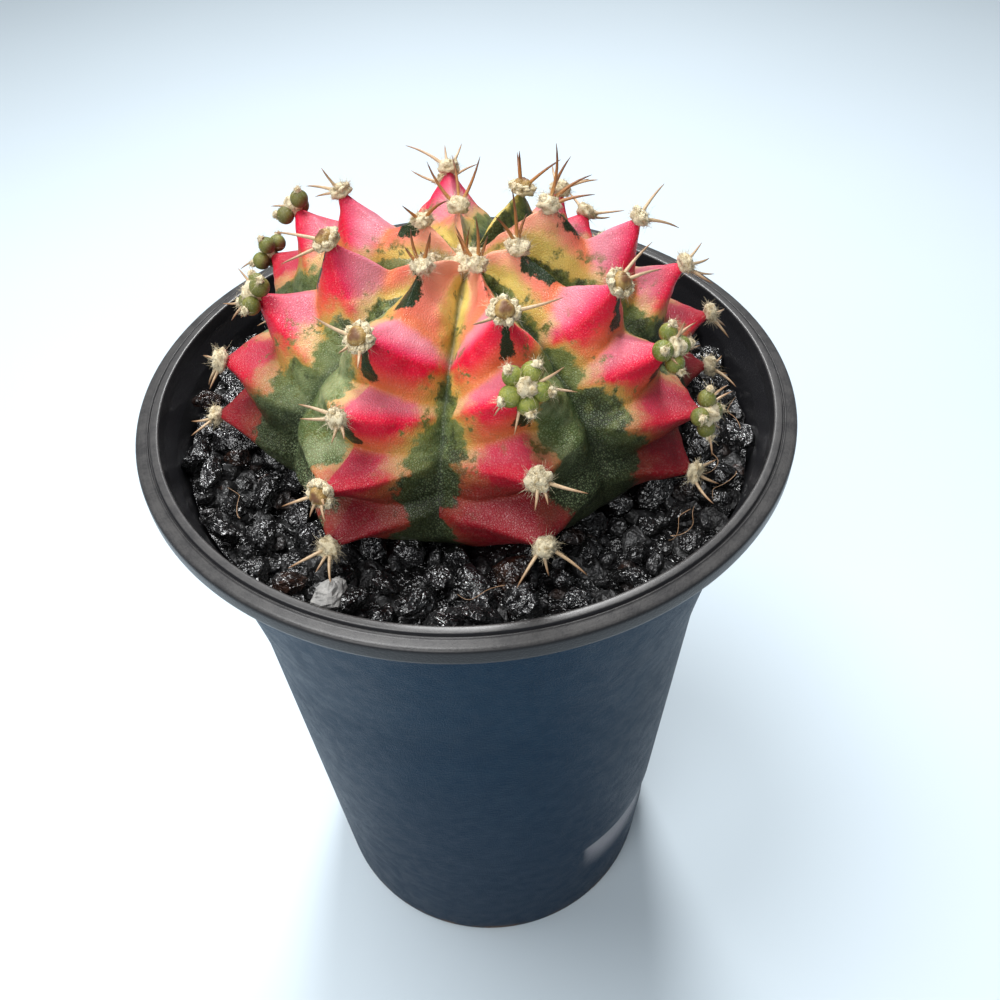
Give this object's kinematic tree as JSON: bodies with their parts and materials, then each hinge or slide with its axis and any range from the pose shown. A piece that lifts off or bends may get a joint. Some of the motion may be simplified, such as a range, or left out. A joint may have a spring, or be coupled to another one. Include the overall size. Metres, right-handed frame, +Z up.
{
  "type": "potted moon cactus",
  "caption": "Round ribbed cactus with woolly spined areoles and small green offsets, rooted in a gravel-topped tall round plastic pot.",
  "frame": {"origin": "middle of the pot's underside, on the surface that it stands on", "axes": "+Z up along the pot's axis, -Y the front that the picture shows, +X to the right"},
  "size_m": [0.085, 0.085, 0.1412],
  "materials": {
    "pot_plastic": "satin blue-black moulded plastic with a fine grain",
    "potting_mix": "dark crumbly peat and bark",
    "lava_gravel": "wet-looking black lava with grey and rust flecks",
    "skin": "fine-grained plant skin, pink with green furrows",
    "wool": "matted cream wool with tan spines",
    "offset_skin": "olive green plant skin"
  },
  "bodies": {
    "root": {"pot": "pot_plastic", "soil": "potting_mix", "gravel": "lava_gravel", "cactus": "skin", "crown_wool": "wool", "areole_a1": "wool", "areole_a2": "wool", "areole_a3": "wool", "areole_a4": "wool", "areole_a5": "wool", "areole_b1": "wool", "areole_b2": "wool", "offsets_b3": "offset_skin", "areole_b4": "wool", "areole_b5": "wool", "areole_c1": "wool", "areole_c2": "wool", "offsets_c3": "offset_skin", "offsets_c4": "offset_skin", "areole_c5": "wool", "areole_d1": "wool", "areole_d2": "wool", "areole_d3": "wool", "areole_d4": "wool", "areole_d5": "wool", "areole_e1": "wool", "areole_e2": "wool", "areole_e3": "wool", "areole_e4": "wool", "areole_e5": "wool", "areole_f1": "wool", "areole_f2": "wool", "areole_f3": "wool", "areole_f4": "wool", "areole_f5": "wool", "areole_g1": "wool", "areole_g2": "wool", "offsets_g3": "offset_skin", "offsets_g4": "offset_skin", "areole_g5": "wool", "areole_h1": "wool", "areole_h2": "wool", "offsets_h3": "offset_skin", "areole_h4": "wool", "areole_h5": "wool"}
  },
  "joints": []
}
